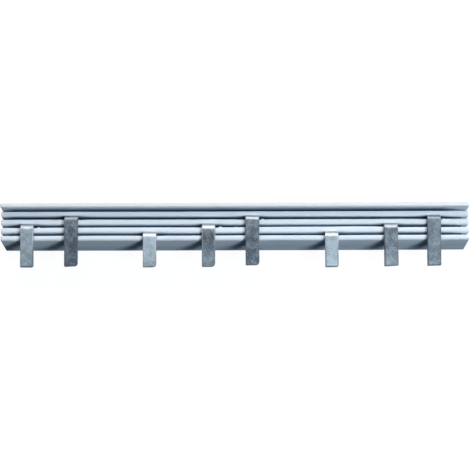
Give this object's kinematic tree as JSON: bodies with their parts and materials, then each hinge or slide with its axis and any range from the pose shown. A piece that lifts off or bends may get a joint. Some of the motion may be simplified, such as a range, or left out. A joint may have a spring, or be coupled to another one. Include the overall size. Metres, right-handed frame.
{
  "type": "comb busbar",
  "caption": "Straight comb busbar: a slotted insulating profile with a hood holds stamped metal strips on edge, and their flat tabs bend down over its front to feed a row of devices.",
  "frame": {"origin": "centre of the profile's flat back face, at the middle of its length and height", "axes": "+X along the profile, -Y the side that the tabs point to, +Z out of the open front of the slots"},
  "size_m": [0.1368, 0.0188, 0.0163],
  "materials": {
    "profile_plastic": "extruded, pale blue-grey, satin",
    "tinned_copper": "tin plated copper, dull and mottled"
  },
  "bodies": {
    "root": {"insulating_profile": "profile_plastic", "phase_bar_lower": "tinned_copper", "phase_bar_middle": "tinned_copper", "phase_bar_upper": "tinned_copper"}
  },
  "joints": []
}
